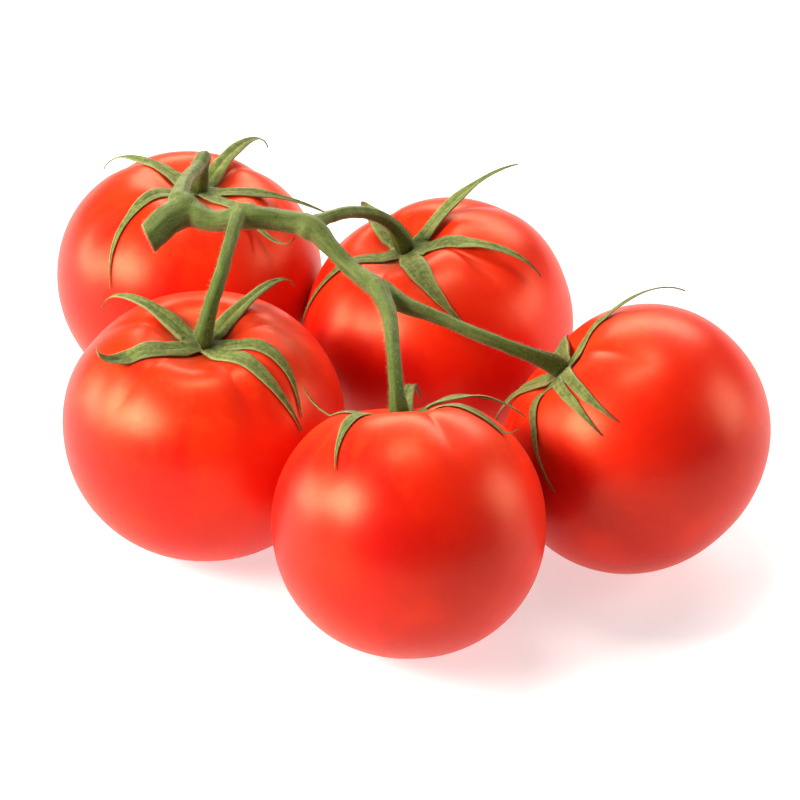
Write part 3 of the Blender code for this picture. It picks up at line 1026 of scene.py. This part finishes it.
def vine_finish():
    """Stem skin: frosted green with fine lengthwise streaks, darker towards the fruits with a deeper green
    and painted shade, and a cut face.
    """
    stem = Finish("stem_green", sheen_weight=0.34, sheen_roughness=0.4, specular_ior_level=0.3)
    place = stem.node("TexCoord", output="Object")
    streak = stem.noise(stem.attribute("grain"), 1100.0, 4.0, 0.6)
    patch = stem.noise(place, 120.0, 3.0, 0.55)
    speck = stem.noise(place, 1500.0, 3.0, 0.7)
    foot = stem.parts(stem.attribute("foot"))[0]
    bloom = stem.ramp(patch, 0.45, 0.68) * stem.ramp(foot, 10.0, 30.0)
    base = stem.mix(STEM_DEEP, STEM_BRIGHT, stem.ramp(streak, 0.34, 0.68))
    base = stem.mix(base, BLOOM_GREEN, bloom * 0.55)
    # The stalks darken towards the fruits: partly a deeper green, partly painted shade
    base = stem.mix(base, STALK_GREEN_AND_SHADE, stem.ramp(foot, 26.0, 8.0) * 0.7)
    # Painted shade: darkest where the stalks meet the calyxes
    base = stem.mix(base, FOOT_PAINTED_SHADE, stem.ramp(foot, 3.3, 2.3) * 0.6)
    base = stem.mix(base, SPECK_PALE, stem.ramp(speck, 0.54, 0.74) * 0.35)
    base = stem.mix(base, SPECK_DARK, stem.ramp(speck, 0.44, 0.26) * 0.6)
    cut = np.array(CUT_NORMAL) / np.linalg.norm(CUT_NORMAL)
    spot = (np.array(CUT_POINT) + MOVE) * MM
    apart = stem.node("VectorMath", {"operation": "DISTANCE"}, {0: place, 1: tuple(spot)}, "Value")
    depth = stem.node("VectorMath", {"operation": "DOT_PRODUCT"}, {0: place, 1: tuple(cut)}, "Value")
    face = stem.ramp(depth - float(spot @ cut), -0.00040, -0.00028) * stem.ramp(apart, 0.0078, 0.0065)
    wood = stem.mix(WOOD_PALE, CORE_GREEN, stem.ramp(apart, 0.0030, 0.0012))
    wood = stem.mix(wood, WOOD_DARK, stem.ramp(speck, 0.52, 0.70) * 0.6)
    stem.put("Base Color", stem.mix(base, wood, face))
    stem.put("Roughness", speck * 0.2 + 0.48)
    stem.put("Normal", stem.bump(speck, 0.45, 0.0002, stem.bump(streak, 0.3, 0.0004)))
    return stem.material


def hair_finish():
    """Fine pale plant hairs."""
    hair = Finish("stem_hair", roughness=0.5, sheen_weight=0.3)
    shade = hair.noise(hair.node("TexCoord", output="Object"), 200.0, 2.0)
    hair.put("Base Color", hair.mix(HAIR_DEEP, HAIR_PALE, shade))
    return hair.material


# Light, floor and camera

def aim(obj, target):
    obj.rotation_euler = (Vector(target) - obj.location).to_track_quat("-Z", "Y").to_euler()


def soft_light(name, place, size, power, tint):
    """Area light aimed at the truss."""
    light = bpy.data.lights.new(name, "AREA")
    light.shape = "RECTANGLE"
    light.size, light.size_y = size
    light.energy = power
    light.color = tint
    obj = bpy.data.objects.new(name, light)
    obj.location = place
    aim(obj, LIGHT_TARGET)
    bpy.context.scene.collection.objects.link(obj)


def make_studio():
    """White room, pale floor, soft lights and the camera."""
    scene = bpy.context.scene
    world = bpy.data.worlds.new("white_room")
    world.use_nodes = True
    room = world.node_tree.nodes["Background"]
    room.inputs["Color"].default_value = colour(1.0, 1.0, 1.0)
    room.inputs["Strength"].default_value = ROOM_LIGHT
    scene.world = world
    scene.view_settings.view_transform = "Standard"
    scene.view_settings.look = "None"
    scene.view_settings.gamma = 0.8

    paper = Finish(
        "white_paper", base_color=colour(0.56, 0.60, 0.66), roughness=0.9, specular_ior_level=0.1,
        emission_color=colour(1.0, 1.0, 1.0), emission_strength=0.60)
    signs = ((-1, -1), (1, -1), (1, 1), (-1, 1))
    corners = [(x * FLOOR_HALF, y * FLOOR_HALF, -FLOOR_DROP) for x, y in signs]
    floor = make_object("floor", corners, [(0, 1, 2, 3)], paper.material, smooth=False)
    for name, light in LIGHTS.items():
        soft_light(name, *light)

    rise = math.radians(CAMERA_RISE)
    back = Vector((0.0, -math.cos(rise), math.sin(rise)))
    camera = bpy.data.cameras.new("camera")
    camera.lens = CAMERA_LENS
    camera.sensor_width = CAMERA_SENSOR
    eye = bpy.data.objects.new("camera", camera)
    eye.location = Vector(CAMERA_TARGET) + CAMERA_DISTANCE * back
    aim(eye, CAMERA_TARGET)
    scene.collection.objects.link(eye)
    scene.camera = eye


# The whole truss

def main():
    """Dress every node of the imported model, add the hairs and set up the studio."""
    ripe = skin_finish()
    leaf = leaf_finish()
    stem = vine_finish()
    hair = hair_finish()
    hubs = {}
    calyxes = []
    for index, (name, fruit) in enumerate(FRUITS.items()):
        skin, tree, centre = make_fruit(name, fruit, 1.3 + 1.9 * index, ripe)
        sepals = make_calyx(name, fruit, tree, centre, 11 + index, leaf)
        axis = np.array(fruit_turn(fruit))[:, 2]
        hubs[name] = centre + axis * (hub_height(fruit) + 0.2)
        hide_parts(f"fruit_{name}")
        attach(skin, "root")
        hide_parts(f"calyx_{name}")
        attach(sepals, "root")
        calyxes.append(sepals)
    vine = make_vine(hubs, stem)
    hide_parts("vine_stem")
    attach(vine, "root")
    bpy.context.view_layer.update()
    vine_hairs = make_hairs("vine_hairs", [vine], VINE_HAIRS, 3, VINE_HAIR_LENGTHS, VINE_HAIR_RADIUS, hair)
    sepal_hairs = make_hairs(
        "sepal_hairs", calyxes, len(calyxes) * CALYX_HAIRS, 4, CALYX_HAIR_LENGTHS, CALYX_HAIR_RADIUS, hair)
    for piece in (vine_hairs, sepal_hairs):
        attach(piece, "root")
    make_studio()


main()
